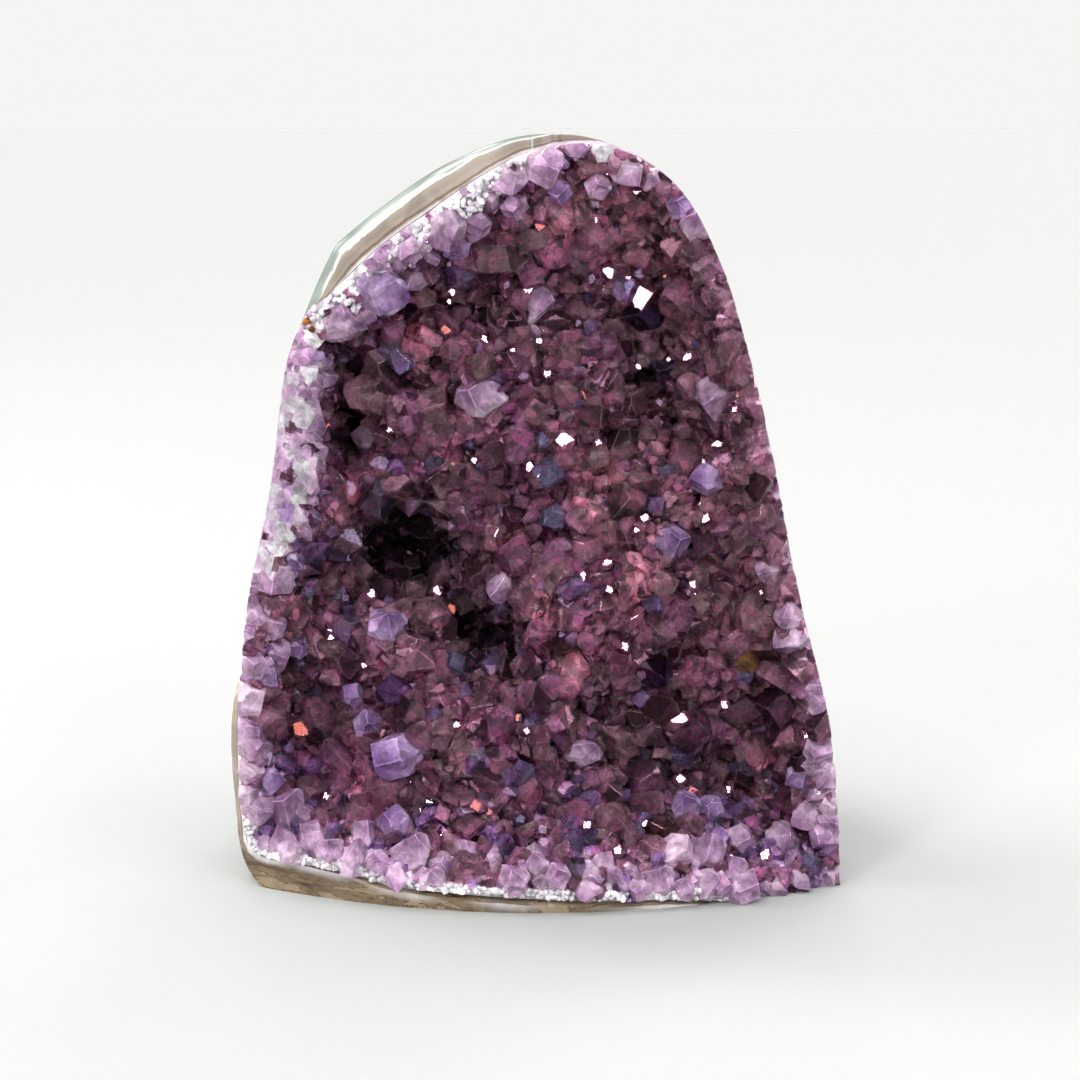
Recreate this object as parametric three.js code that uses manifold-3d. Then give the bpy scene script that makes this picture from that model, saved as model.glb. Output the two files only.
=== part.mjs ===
// A quartz cluster: one cut section of an amethyst and citrine geode that stands on its sawn base.
// It has two solids. agate_rind is the polished outer wall, a bowl that is open to the front.
// crystal_druse is the quartz lining of that bowl, with the crystals that grew together on it.
// Units are millimetres, +Z is up, the crystals face -Y, and the origin is the middle of the base.
import * as THREE from 'three';
import { mergeVertices } from 'three/addons/utils/BufferGeometryUtils.js';
import Module from 'manifold-3d';

// ---- Driving dimensions ----
const HEIGHT = 122;            // sawn base to the top of the cluster
const HALF_WIDTH = 50.4;       // at the widest place, near the base
const FRONT_Y = -30.3;         // foremost point of the rim, at the base
const LEAN = 0.17;             // the crystal face leans back by this much for each millimetre of height
const BULGE = 13;              // how far the sides of the face fall back from its middle, at the base
const BULGE_FADE = 0.35;       // share of that bulge that is gone at the top
const BACK_DEPTH = 69;         // face to the back of the stone, at base height
const BACK_TAPER = 0.32;       // the stone gets thinner upwards by this much for each millimetre
const BACK_ROUNDNESS = 2.25;   // exponent of the rounded back: 2 is an ellipse, more is boxier
const BOWL_DEPTH = 27;         // the lining's back, behind the face at the middle
const BOWL_STEEPNESS = 7;      // exponent of the bowl: more makes its sides steeper
const BOWL_CLOSING = 55;       // the bowl gets shallower over this height, up to the top
const LEAST_CRUST = 4;         // quartz left behind the deepest hollow
const QUARTZ_SIDE = 7;         // depth of cut quartz seen on the sides where no agate edges the face
const LEAST_SIDE = 0.3;        // the same where agate does edge it
const LIP_STEP = 1.8;          // where that quartz meets the agate, it steps in by this much
const GAP = 0.3;               // between the two solids
const CENTRE = new THREE.Vector2(0, 55);  // x and z of the middle of the face

const SEGMENTS = 56;           // around the outline
const BACK_RINGS = 9;
const BOWL_RINGS = 5;
const RELIEF_RINGS = 10;

// The widest outline of the stone, x and z, going round from the lower right. The part below the base
// is sawn off.
const OUTLINE = [
  [49.4, -10], [49.5, 6], [47.6, 27], [41.9, 50], [37.8, 70], [33.6, 87], [28.8, 102], [21.5, 114.4],
  [10, 120.9], [-2.5, 121.8], [-14.5, 117.6], [-24, 111.6], [-31.6, 105.7], [-33.7, 103.2], [-37.6, 95],
  [-41.2, 85], [-43.9, 66], [-48, 47], [-51.2, 27], [-50.7, 14], [-49.8, 6], [-47.9, 1.8], [-43.5, -3],
  [-28, -24], [0, -30], [32, -26],
];

// The outline of the crystals on the face. It meets the stone's outline where no agate shows.
const CRYSTAL_EDGE = [
  [49.4, -10], [49.5, 6], [47.6, 27], [41.9, 50], [37.8, 70], [33.6, 87], [28.8, 102], [21.5, 114.4],
  [10.5, 120.6], [-1, 119.7], [-9.2, 115.8], [-17.9, 110], [-25.6, 104.5], [-34.2, 96.6], [-37.2, 94.2],
  [-41.1, 85], [-43.9, 66], [-47.8, 47], [-49.8, 27], [-49.2, 10], [-46.6, 5.4], [-39, 5], [-30, 4.4],
  [-24, 3.2], [-12, 2.7], [8, 1.8], [24, 1], [32, -1], [42, -8],
];

// Stretches of the edge, in degrees round the centre, where the agate shows beside the crystals.
const AGATE_ARCS = [
  { from: 92, to: 133, fade: 5 },
  { from: 210, to: 296, fade: 12 },
];

// The ground outer wall stands out past the rim at the upper left shoulder.
const SHOULDER = { angle: 122, spread: 24, rim: 2, depth: 5 };

// The flat polished rim is wide on the left, where the crystals are cut across, and then falls away.
const RIM_BAND = { angle: 163, spread: 20, wide: 5.5, narrow: 1.2 };
const RAMP = { short: 6, long: 14 };   // from the rim down to the bed, on the left and elsewhere
const BED_DEPTH = 8;                   // of the bed behind the rim surface
const BASE_RIM = 0.8;                  // width of the flat rim along the sawn base

// Hollows and mounds of the crystal bed: x, z, radius and depth, with mounds below zero.
const BED_SHAPES = [
  [-22.5, 52.5, 9.5, 15], [-10, 38.5, 6.5, 12], [-32.5, 73, 5.5, 11], [-33, 84, 5, 9], [8, 100, 14, 4],
  [20, 80, 8, 5], [28, 16, 8, 5], [17, 19, 6, 4], [10, 25, 7, 3], [-36, 30, 6, 3], [-6, 62, 6, 3],
  [-35, 60, 5, -3], [-25, 41, 7, -5], [-24, 78, 5, -3], [8, 72, 11, -3], [12, 49, 12, -4],
  [-18, 22, 10, -3], [24, 6, 9, -2], [36, 66, 8, -2], [-2, 90, 8, -2],
];

// Crystals that stand out: x, z, radius, and how far the tip stands off the bed.
const LARGE_CRYSTALS = [
  [-20.8, 23.4, 3.5, 6.5], [-23.7, 43.4, 4.2, 5.5], [-25.5, 97.5, 4.4, 6], [-19.5, 104.5, 2.3, 4],
  [-13, 106.5, 3.6, 5], [-2.7, 111.2, 2.6, 4.5], [2, 116, 3.2, 4], [10.6, 113.5, 2.4, 4],
  [-24, 81.5, 4.2, 7], [-24.3, 69.8, 2.2, 6], [-30, 65, 1.9, 5], [-32.3, 60, 3.4, 5],
  [18, 95.5, 3.8, 6], [28.4, 67.7, 2.7, 5], [3.7, 68, 2.5, 5], [22, 30, 2.8, 5],
  [19, 38, 4, 5], [-40.5, 54, 3.8, 3], [-39.8, 40.6, 3.5, 4], [-44.4, 28, 2.9, 3],
  [-44, 19.4, 2.6, 3], [-17.3, 12.5, 2.7, 4.5], [-20, 8.4, 3.1, 4], [-11, 8, 2.6, 4],
  [-3, 5, 3, 4.5], [3.8, 5, 2.3, 4], [28, 9, 3.5, 4.5], [44, 24, 3.6, 4],
  [40.9, 46, 2.7, 3.5], [-12.6, 36.7, 2.6, 5], [25, 19, 3.2, 5], [9, 47, 3, 4],
];
const SMALL_CRYSTALS = 70;              // spread evenly between the large ones
const SMALL_RADIUS = { from: 2.4, to: 3.7 };
const SMALL_RISE = { from: 3.6, to: 5.6 };
const SPACING = 0.85;                   // distance between neighbours, as a share of their two radii
const TILT = 0.5;                       // most sideways lean of a crystal from the bed's own direction
const ROOT = 3.5;                       // how deep a crystal is rooted in the bed
const TIP_SHARE = 0.95;                 // height of the six-sided point for each millimetre of radius
const CRYSTAL_SIDES = 6;

const COLOURS = { agate: 0xa39a8c, crystal: 0x7a5a86 };

// ---- Small helpers ----
const smooth = (t) => THREE.MathUtils.smoothstep(t, 0, 1);
const bell = (offset, spread) => Math.exp(-((offset / spread) ** 2));
const hash = (n) => (((Math.sin(n * 12.9898) * 43758.5453) % 1) + 1) % 1;
const between = (range, t) => range.from + (range.to - range.from) * t;

const wasm = await Module();
wasm.setup();

// A closed geometry as a manifold-3d solid.
function solidFrom(geometry) {
  const bare = new THREE.BufferGeometry().setAttribute('position', geometry.getAttribute('position'));
  bare.setIndex(geometry.index);
  const merged = mergeVertices(bare, 1e-4);
  return new wasm.Manifold(new wasm.Mesh({
    numProp: 3,
    vertProperties: merged.attributes.position.array,
    triVerts: new Uint32Array(merged.index.array),
  }));
}

function geometryFrom(solid) {
  const { vertProperties, triVerts } = solid.getMesh();
  const geometry = new THREE.BufferGeometry();
  geometry.setAttribute('position', new THREE.BufferAttribute(vertProperties, 3));
  geometry.setIndex(new THREE.BufferAttribute(triVerts, 1));
  geometry.computeVertexNormals();
  return geometry;
}

// ---- Outlines, as a radius for each angle round the centre ----
function outlineRadii(points) {
  const curve = new THREE.CatmullRomCurve3(points.map(([x, z]) => new THREE.Vector3(x, 0, z)), true);
  const dense = curve.getPoints(900).map((p) => new THREE.Vector2(p.x, p.z).sub(CENTRE));
  const samples = dense.map((p) => ({ angle: (p.angle() + 2 * Math.PI) % (2 * Math.PI), r: p.length() }));
  samples.sort((a, b) => a.angle - b.angle);
  return (angle) => {
    const wanted = (angle + 4 * Math.PI) % (2 * Math.PI);
    const next = samples.findIndex((s) => s.angle >= wanted);
    const b = samples[next < 0 ? 0 : next];
    const a = samples[(next < 0 ? samples.length : next + samples.length - 1) % samples.length];
    const span = (b.angle - a.angle + 2 * Math.PI) % (2 * Math.PI) || 1;
    return a.r + (b.r - a.r) * (((wanted - a.angle + 2 * Math.PI) % (2 * Math.PI)) / span);
  };
}

const stoneRadius = outlineRadii(OUTLINE);
const edgeRadius = outlineRadii(CRYSTAL_EDGE);

const degreesFrom = (angle, wanted) => {
  const turned = THREE.MathUtils.radToDeg(angle) - wanted;
  return ((turned + 540) % 360) - 180;
};

// 1 where agate edges the face and 0 where crystals reach the cut side.
function agateShows(angle) {
  return AGATE_ARCS.reduce((most, { from, to, fade }) => {
    const middle = (from + to) / 2;
    const past = Math.abs(degreesFrom(angle, middle)) - (to - from) / 2;
    return Math.max(most, 1 - smooth(past / fade));
  }, 0);
}

const rimWidth = (angle) => THREE.MathUtils.lerp(
  RIM_BAND.narrow, RIM_BAND.wide, bell(degreesFrom(angle, RIM_BAND.angle), RIM_BAND.spread));

// ---- Surfaces, as y for each x and z ----
function faceY(x, z) {
  const side = x / HALF_WIDTH;
  return FRONT_Y + LEAN * z + BULGE * side * side * (1 - BULGE_FADE * z / HEIGHT);
}

function bowlY(x, z) {
  const offset = new THREE.Vector2(x, z).sub(CENTRE);
  const share = Math.min(1, offset.length() / edgeRadius(offset.angle()));
  const depth = BOWL_DEPTH * THREE.MathUtils.clamp((HEIGHT + 4 - z) / BOWL_CLOSING, 0, 1);
  return faceY(x, z) + depth * (1 - share ** BOWL_STEEPNESS);
}

function bedY(x, z) {
  const offset = new THREE.Vector2(x, z).sub(CENTRE);
  const angle = offset.angle();
  const inside = Math.min(edgeRadius(angle) - offset.length(), z + BASE_RIM);
  const nearBand = bell(degreesFrom(angle, RIM_BAND.angle), RIM_BAND.spread);
  const ramp = smooth((inside - rimWidth(angle)) / THREE.MathUtils.lerp(RAMP.long, RAMP.short, nearBand));
  const shaped = BED_SHAPES.reduce(
    (depth, [sx, sz, radius, d]) => depth + d * bell(Math.hypot(x - sx, z - sz), radius), BED_DEPTH);
  const deepest = bowlY(x, z) - faceY(x, z) - LEAST_CRUST * ramp;
  return faceY(x, z) + Math.min(ramp * shaped, Math.max(0, deepest));
}

// The direction that the bed faces, towards -Y.
function bedNormal(x, z) {
  const step = 0.8;
  const slopeX = (bedY(x + step, z) - bedY(x - step, z)) / (2 * step);
  const slopeZ = (bedY(x, z + step) - bedY(x, z - step)) / (2 * step);
  return new THREE.Vector3(slopeX, -1, slopeZ).normalize();
}

// ---- Rings and lofts ----
// One ring of points: radiusAt(angle) round the centre, then y from yAt(x, z, angle).
function ring(radiusAt, yAt) {
  return Array.from({ length: SEGMENTS }, (_, i) => {
    const angle = (2 * Math.PI * i) / SEGMENTS;
    const x = CENTRE.x + radiusAt(angle) * Math.cos(angle);
    const z = CENTRE.y + radiusAt(angle) * Math.sin(angle);
    return new THREE.Vector3(x, yAt(x, z, angle), z);
  });
}

// A closed solid through the rings, with a pole at each end.
function loft(firstPole, rings, lastPole) {
  const points = [firstPole, ...rings.flat(), lastPole];
  const last = points.length - 1;
  const at = (r, i) => 1 + r * SEGMENTS + (i % SEGMENTS);
  const faces = [];
  for (let i = 0; i < SEGMENTS; i++) {
    faces.push(0, at(0, i), at(0, i + 1));
    for (let r = 0; r + 1 < rings.length; r++) {
      faces.push(at(r, i), at(r + 1, i), at(r + 1, i + 1), at(r, i), at(r + 1, i + 1), at(r, i + 1));
    }
    faces.push(at(rings.length - 1, i), last, at(rings.length - 1, i + 1));
  }
  const geometry = new THREE.BufferGeometry().setFromPoints(points);
  geometry.setIndex(faces);
  return solidFrom(geometry);
}

const onCentre = (y) => new THREE.Vector3(CENTRE.x, y, CENTRE.y);

// How deep on the side the lining ends and the rind begins.
const quartzDepth = (angle) => THREE.MathUtils.lerp(QUARTZ_SIDE, LEAST_SIDE, agateShows(angle));
const liningRadius = (angle) => edgeRadius(angle) - 0.2 - LIP_STEP * (1 - agateShows(angle));

// The lining, or with a gap the room that it takes in the rind. frontY is its front surface.
function liningSolid(frontY, gap) {
  const front = Array.from({ length: RELIEF_RINGS }, (_, i) => {
    const share = (i + 1) / RELIEF_RINGS;
    return ring((a) => share * (edgeRadius(a) + gap), frontY);
  });
  const sideY = (x, z, a) => faceY(x, z) + quartzDepth(a) + gap;
  const side = ring((a) => edgeRadius(a) + gap, sideY);
  const step = ring((a) => liningRadius(a) + gap, sideY);
  const bowl = Array.from({ length: BOWL_RINGS }, (_, i) => {
    const share = Math.sqrt((BOWL_RINGS - i) / (BOWL_RINGS + 1));
    return ring((a) => share * (liningRadius(a) + gap), (x, z, a) =>
      bowlY(x, z) + quartzDepth(a) * share ** 4 + gap);
  });
  return loft(
    onCentre(frontY(CENTRE.x, CENTRE.y)), [...front, side, step, ...bowl],
    onCentre(bowlY(CENTRE.x, CENTRE.y) + gap));
}

// The whole stone, with the agate's polished shoulder and a rounded back.
function stoneSolid() {
  const shoulder = (a) => SHOULDER.rim * bell(degreesFrom(a, SHOULDER.angle), SHOULDER.spread);
  const face = ring((a) => stoneRadius(a) - shoulder(a), faceY);
  const back = Array.from({ length: BACK_RINGS }, (_, i) => {
    const share = (i / (BACK_RINGS - 0.3)) ** 0.8;
    const radius = (1 - share ** BACK_ROUNDNESS) ** (1 / BACK_ROUNDNESS);
    return ring((a) => stoneRadius(a) * radius, (x, z) =>
      faceY(x, z) + SHOULDER.depth + (BACK_DEPTH - BACK_TAPER * z - SHOULDER.depth) * share);
  });
  const poleY = faceY(CENTRE.x, CENTRE.y);
  return loft(onCentre(poleY), [face, ...back], onCentre(poleY + BACK_DEPTH - BACK_TAPER * CENTRE.y));
}

// Everything under the sawn base.
function belowBase() {
  const size = 4 * HEIGHT;
  const block = new THREE.BoxGeometry(size, size, size);
  block.translate(0, 0, -size / 2);
  return solidFrom(block);
}

function makeRind() {
  const room = liningSolid((x, z) => faceY(x, z) - BULGE, GAP);
  return stoneSolid().subtract(room).subtract(belowBase());
}

// One six-sided quartz point, rooted in the bed at x and z.
function quartzPoint(x, z, radius, rise, number) {
  const tip = Math.min(rise, TIP_SHARE * radius);
  const profile = [[0, 0], [radius, 0], [radius, ROOT + rise - tip], [0, ROOT + rise]];
  const shape = new THREE.LatheGeometry(profile.map(([r, y]) => new THREE.Vector2(r, y)), CRYSTAL_SIDES);
  const lean = new THREE.Vector3(hash(number) - 0.5, 0, hash(number + 0.37) - 0.5).multiplyScalar(2 * TILT);
  const direction = bedNormal(x, z).add(lean).normalize();
  const twist = new THREE.Quaternion().setFromAxisAngle(new THREE.Vector3(0, 1, 0), 6 * hash(number + 0.71));
  const turn = new THREE.Quaternion().setFromUnitVectors(new THREE.Vector3(0, 1, 0), direction);
  const root = new THREE.Vector3(x, bedY(x, z), z).addScaledVector(direction, -ROOT);
  shape.applyMatrix4(new THREE.Matrix4().compose(root, turn.multiply(twist), new THREE.Vector3(1, 1, 1)));
  return solidFrom(shape);
}

// Small crystals on an even spread of places that keep clear of the large ones.
function smallCrystals() {
  const places = [];
  const taken = LARGE_CRYSTALS.map(([x, z, radius]) => [x, z, radius]);
  for (let n = 1; places.length < SMALL_CRYSTALS && n < 4000; n++) {
    const x = HALF_WIDTH * (2 * ((n * 0.7548776662) % 1) - 1);
    const z = HEIGHT * ((n * 0.5698402909) % 1);
    const radius = between(SMALL_RADIUS, hash(n));
    const offset = new THREE.Vector2(x, z).sub(CENTRE);
    const inside = offset.length() < edgeRadius(offset.angle()) - radius;
    const clear = taken.every(([tx, tz, r]) => Math.hypot(x - tx, z - tz) > SPACING * (radius + r));
    if (inside && clear) {
      taken.push([x, z, radius]);
      places.push([x, z, radius, between(SMALL_RISE, hash(n + 0.5))]);
    }
  }
  return places;
}

function makeDruse() {
  const reach = Math.max(...LARGE_CRYSTALS.map(([, , , rise]) => rise));
  const envelope = liningSolid((x, z) => faceY(x, z) - reach, 0);
  const crystals = [...LARGE_CRYSTALS, ...smallCrystals()].map(
    ([x, z, radius, rise], i) => quartzPoint(x, z, radius, rise, i + 1));
  const grown = crystals.reduce((all, crystal) => all.add(crystal));
  return liningSolid(bedY, 0).add(grown.intersect(envelope)).subtract(belowBase());
}

function part(name, solid, colour, roughness) {
  const material = new THREE.MeshStandardMaterial({ color: colour, roughness, metalness: 0 });
  const mesh = new THREE.Mesh(geometryFrom(solid), material);
  mesh.name = name;
  return mesh;
}

const cluster = new THREE.Group();
cluster.add(part('agate_rind', makeRind(), COLOURS.agate, 0.25));
cluster.add(part('crystal_druse', makeDruse(), COLOURS.crystal, 0.1));

export default cluster;
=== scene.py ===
import math

import bpy
import numpy as np
from mathutils import Matrix, Vector
from mathutils.kdtree import KDTree


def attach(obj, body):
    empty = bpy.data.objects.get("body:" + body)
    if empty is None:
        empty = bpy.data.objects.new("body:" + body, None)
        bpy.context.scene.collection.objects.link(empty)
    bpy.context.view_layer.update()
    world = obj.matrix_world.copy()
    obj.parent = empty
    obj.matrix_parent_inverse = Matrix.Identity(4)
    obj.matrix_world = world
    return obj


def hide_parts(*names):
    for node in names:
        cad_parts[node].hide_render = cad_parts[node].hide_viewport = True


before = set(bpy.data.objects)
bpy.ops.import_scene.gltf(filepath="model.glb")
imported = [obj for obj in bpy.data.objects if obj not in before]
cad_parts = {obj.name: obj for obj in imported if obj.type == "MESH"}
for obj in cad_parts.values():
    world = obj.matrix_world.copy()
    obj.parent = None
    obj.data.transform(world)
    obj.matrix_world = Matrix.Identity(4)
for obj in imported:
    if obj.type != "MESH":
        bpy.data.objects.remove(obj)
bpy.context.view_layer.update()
mm = 0.001


# a colour written as on a paint chart, made linear
def tone(code):
    parts = [int(code[i:i + 2], 16) / 255 for i in (1, 3, 5)]
    return [c / 12.92 if c < 0.04045 else ((c + 0.055) / 1.055) ** 2.4 for c in parts]


def smooth(t):
    t = np.clip(t, 0, 1)
    return t * t * (3 - 2 * t)


def bell(offset, spread):
    return np.exp(-(offset / spread) ** 2)


def lerp(a, b, t):
    return a + (b - a) * t


def turnFrom(angle, wanted):
    return (np.degrees(angle) - wanted + 540) % 360 - 180


# even waves in many directions: a smooth natural unevenness, about -1 to 1
def lumps(x, y, size, seed, z=0):
    rng = np.random.default_rng(seed)
    total = 0
    for n in range(9):
        way = rng.normal(size=3)
        way = way / np.linalg.norm(way) * rng.uniform(0.6, 1.5) * math.pi / size
        total = total + np.sin(x * way[0] + y * way[1] + z * way[2] + rng.uniform(0, 2 * math.pi))
    return total / 4


# several such waves over each other, each with its height, size and seed
def layeredLumps(x, y, waves, z=0, start=0):
    return sum((tall * lumps(x, y, size, seed, z) for tall, size, seed in waves), start)


def deselectAll():
    bpy.ops.object.select_all(action="DESELECT")


quartzIor = 1.54


def newMaterial(name):
    material = bpy.data.materials.new(name)
    material.use_nodes = True
    nodes = material.node_tree.nodes
    return material, nodes, material.node_tree.links, nodes["Principled BSDF"]


def addNode(nodes, kind, inputs=None, **settings):
    node = nodes.new(kind)
    for key, value in settings.items():
        setattr(node, key, value)
    for key, value in (inputs or {}).items():
        node.inputs[key].default_value = value
    return node


# each wire as a node, its output, the next node and its input
def wire(links, wires):
    for source, output, target, entry in wires:
        links.new(source.outputs[output], target.inputs[entry])


# the inputs that make a Map Range node take one range to another
def mapped(given, wanted):
    return {"From Min": given[0], "From Max": given[1], "To Min": wanted[0], "To Max": wanted[1]}


def fillRamp(node, stops):
    ramp = node.color_ramp
    while len(ramp.elements) < len(stops):
        ramp.elements.new(1)
    for element, (position, code) in zip(ramp.elements, stops):
        element.position = position
        element.color = (*tone(code), 1)


view = {"aim": (0, -19.3, 59), "distance": 330, "elevation": 13, "lens": 69}


def cameraPlace():
    lift = math.radians(view["elevation"])
    return (Vector(view["aim"]) + Vector((0, -math.cos(lift), math.sin(lift))) * view["distance"]) * mm


def makeCamera():
    aim, place = Vector(view["aim"]) * mm, cameraPlace()
    bpy.ops.object.camera_add(location=place, rotation=(aim - place).to_track_quat("-Z", "Y").to_euler())
    camera = bpy.context.object
    camera.data.lens = view["lens"]
    camera.data.clip_start = 0.01
    bpy.context.scene.camera = camera


# where each lamp hangs, in millimetres, and what it gives. The small ones are there for the glints.
lights = {
    "window": {"from": (-330, -430, 430), "size": (50, 50), "power": 0.62, "colour": (0.9, 1, 1)},
    "skylight": {"from": (430, -420, 260), "size": (100, 100), "power": 0.36, "colour": (0.5, 0.85, 1)},
    "lamp": {"from": (60, -560, 380), "size": (36, 36), "power": 0.1, "colour": (1, 0.6, 0.3)},
    "strip": {"from": (-420, 120, 480), "size": (500, 140), "power": 0.8, "colour": (1, 1, 1)},
}
lampAim = (0, 0, 55)


def makeLights():
    for name, lamp in lights.items():
        place = Vector(lamp["from"]) * mm
        aim = Vector(lampAim) * mm
        bpy.ops.object.light_add(
            type="AREA", location=place, rotation=(aim - place).to_track_quat("-Z", "Y").to_euler())
        light = bpy.context.object
        light.name = name
        light.data.shape = "RECTANGLE"
        light.data.size = lamp["size"][0] * mm
        light.data.size_y = lamp["size"][1] * mm
        light.data.energy = lamp["power"]
        light.data.color = lamp["colour"]
        light.visible_transmission = name == "strip"


# A pale room, brighter overhead and darker on the side that the crystals face. The camera sees it plain.
room = {
    "zenith": 2.35, "horizon": 0.45, "front": 0.34, "behindAll": 0.765, "colour": (1, 1, 0.99, 1),
    "patchScale": 4.5, "patchEdge": (0.57, 0.64), "patchShades": (0.2, 6.6),
    "upRange": (-0.1, 0.9), "frontRange": (-0.95, 0.1),
}


def makeRoom():
    world = bpy.data.worlds.new("room")
    world.use_nodes = True
    nodes, links = world.node_tree.nodes, world.node_tree.links
    background = nodes["Background"]
    place = addNode(nodes, "ShaderNodeTexCoord")
    split = addNode(nodes, "ShaderNodeSeparateXYZ")
    up = addNode(nodes, "ShaderNodeMapRange", mapped(room["upRange"], (room["horizon"], room["zenith"])))
    front = addNode(nodes, "ShaderNodeMapRange", mapped(room["frontRange"], (room["front"], 1)))
    both = addNode(nodes, "ShaderNodeMath", operation="MULTIPLY")
    patch = addNode(nodes, "ShaderNodeTexNoise", {"Scale": room["patchScale"], "Detail": 1})
    patchShade = addNode(nodes, "ShaderNodeMapRange", mapped(room["patchEdge"], room["patchShades"]))
    patched = addNode(nodes, "ShaderNodeMath", operation="MULTIPLY")
    ray = addNode(nodes, "ShaderNodeLightPath")
    seen = addNode(nodes, "ShaderNodeMix", {"B": room["behindAll"]})
    wire(links, [
        (place, "Generated", split, "Vector"), (place, "Generated", patch, "Vector"),
        (split, "Z", up, "Value"), (split, "Y", front, "Value"), (up, "Result", both, 0),
        (front, "Result", both, 1), (patch, "Fac", patchShade, "Value"), (both, "Value", patched, 0),
        (patchShade, "Result", patched, 1), (patched, "Value", seen, "A"),
        (ray, "Is Camera Ray", seen, "Factor"), (seen, "Result", background, "Strength")])
    background.inputs["Color"].default_value = room["colour"]
    bpy.context.scene.world = world
    bpy.context.scene.view_settings.view_transform = "Standard"
    bpy.context.scene.view_settings.look = "Medium High Contrast"


paleFloor = {"size": 8, "colour": (0.385, 0.385, 0.382, 1), "rough": 0.9, "shine": 0.1}


def makeFloor():
    bpy.ops.mesh.primitive_plane_add(size=paleFloor["size"], location=(0, 0, 0))
    floor = bpy.context.object
    floor.name = "floor"
    floor.data.materials.append(makeFloorMaterial())


def makeFloorMaterial():
    material, nodes, links, shader = newMaterial("paleFloor")
    shader.inputs["Base Color"].default_value = paleFloor["colour"]
    shader.inputs["Roughness"].default_value = paleFloor["rough"]
    shader.inputs["Specular IOR Level"].default_value = paleFloor["shine"]
    return material


# the outlines are x and z in millimetres, seen from the front. Both are the same down the right side.
rightSide = [
    (49.4, -10), (49.5, 6), (47.6, 27), (41.9, 50), (37.8, 70), (33.6, 87), (28.8, 102), (21.5, 114.4)]
stone = {
    "height": 122, "halfWidth": 50.4, "frontY": -30.3, "lean": 0.17, "bulge": 13, "bulgeFade": 0.35,
    "backDepth": 69, "backTaper": 0.32, "roundness": 2.25, "centre": (0, 55),
    "shoulder": {"angle": 122, "spread": 24, "rim": 2, "depth": 5},
    "footDepth": 14, "agateArcs": [(92, 133, 5), (210, 296, 12)],
    "outline": [
        *rightSide, (10, 120.9), (-2.5, 121.8), (-14.5, 117.6), (-24, 111.6), (-31.6, 105.7),
        (-33.7, 103.2), (-37.6, 95), (-41.2, 85), (-43.9, 66), (-48, 47), (-51.2, 27), (-50.7, 14),
        (-49.8, 6), (-47.9, 1.8), (-43.5, -3), (-28, -24), (0, -30), (32, -26)],
    "crystalEdge": [
        *rightSide, (10.5, 120.6), (-1, 119.7), (-9.2, 115.8), (-17.9, 110), (-25.6, 104.5),
        (-34.2, 96.6), (-37.2, 94.2), (-41.1, 85), (-43.9, 66), (-47.8, 47), (-49.8, 27), (-49.2, 10),
        (-46.6, 5.4), (-39, 5), (-30, 4.4), (-24, 3.2), (-12, 2.7), (8, 1.8), (24, 1), (32, -1), (42, -8)],
}
lining = {
    "bowlDepth": 27, "steepness": 7, "closing": 55, "aboveTop": 4, "baseRim": 0.8, "leastCrust": 2.5,
    "side": 7, "leastSide": 0.3, "edgeStep": 0.2, "step": 1.8, "gap": 0.22,
    "band": {"angle": 163, "spread": 20, "wide": 5.5, "narrow": 1.2},
    "rampShort": 6, "rampLong": 14, "bedDepth": 8, "crystalRoom": 2.8,
    # height, size and seed
    "waves": [(1.1, 6, 4), (0.5, 2.6, 5)],
    # hollows and swellings: x, z, radius and depth
    "shapes": [
        (-22.5, 52.5, 9.5, 15), (-10, 38.5, 6.5, 12), (-32.5, 73, 5.5, 11), (-33, 84, 5, 9), (8, 100, 14, 4),
        (20, 80, 8, 5), (28, 16, 8, 5), (17, 19, 6, 4), (10, 25, 7, 3), (-36, 30, 6, 3), (-6, 62, 6, 3),
        (-35, 60, 5, -3), (-25, 41, 7, -5), (-24, 78, 5, -3), (8, 72, 11, -3), (12, 49, 12, -4),
        (-18, 22, 10, -3), (24, 6, 9, -2), (36, 66, 8, -2), (-2, 90, 8, -2)],
}


# radius of a closed outline for each angle round the centre
def outlineRadius(points):
    p = np.array(points, float)
    before, after, beyond = np.roll(p, 1, 0), np.roll(p, -1, 0), np.roll(p, -2, 0)
    t = np.linspace(0, 1, 24, endpoint=False)[:, None, None]
    curve = p + 0.5 * ((after - before) * t + (2 * before - 5 * p + 4 * after - beyond) * t ** 2
                       + (3 * p - before - 3 * after + beyond) * t ** 3)
    curve = curve.reshape(-1, 2) - stone["centre"]
    angles, radii = np.arctan2(curve[:, 1], curve[:, 0]), np.hypot(curve[:, 0], curve[:, 1])
    order = np.argsort(angles)
    return lambda angle: np.interp(angle, angles[order], radii[order], period=2 * math.pi)


stoneRadius = outlineRadius(stone["outline"])
edgeRadius = outlineRadius(stone["crystalEdge"])


def polar(x, z):
    dx, dz = x - stone["centre"][0], z - stone["centre"][1]
    return np.arctan2(dz, dx), np.hypot(dx, dz)


def agateShows(angle):
    most = 0
    for start, end, fade in stone["agateArcs"]:
        past = np.abs(turnFrom(angle, (start + end) / 2)) - (end - start) / 2
        most = np.maximum(most, 1 - smooth(past / fade))
    return most


def faceY(x, z):
    side = x / stone["halfWidth"]
    return stone["frontY"] + stone["lean"] * z + stone["bulge"] * side ** 2 * (
        1 - stone["bulgeFade"] * z / stone["height"])


def bowlY(x, z):
    angle, radius = polar(x, z)
    share = np.minimum(1, radius / edgeRadius(angle))
    closing = np.clip((stone["height"] + lining["aboveTop"] - z) / lining["closing"], 0, 1)
    return faceY(x, z) + lining["bowlDepth"] * closing * (1 - share ** lining["steepness"])


def nearBand(angle):
    band = lining["band"]
    return bell(turnFrom(angle, band["angle"]), band["spread"])


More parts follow.
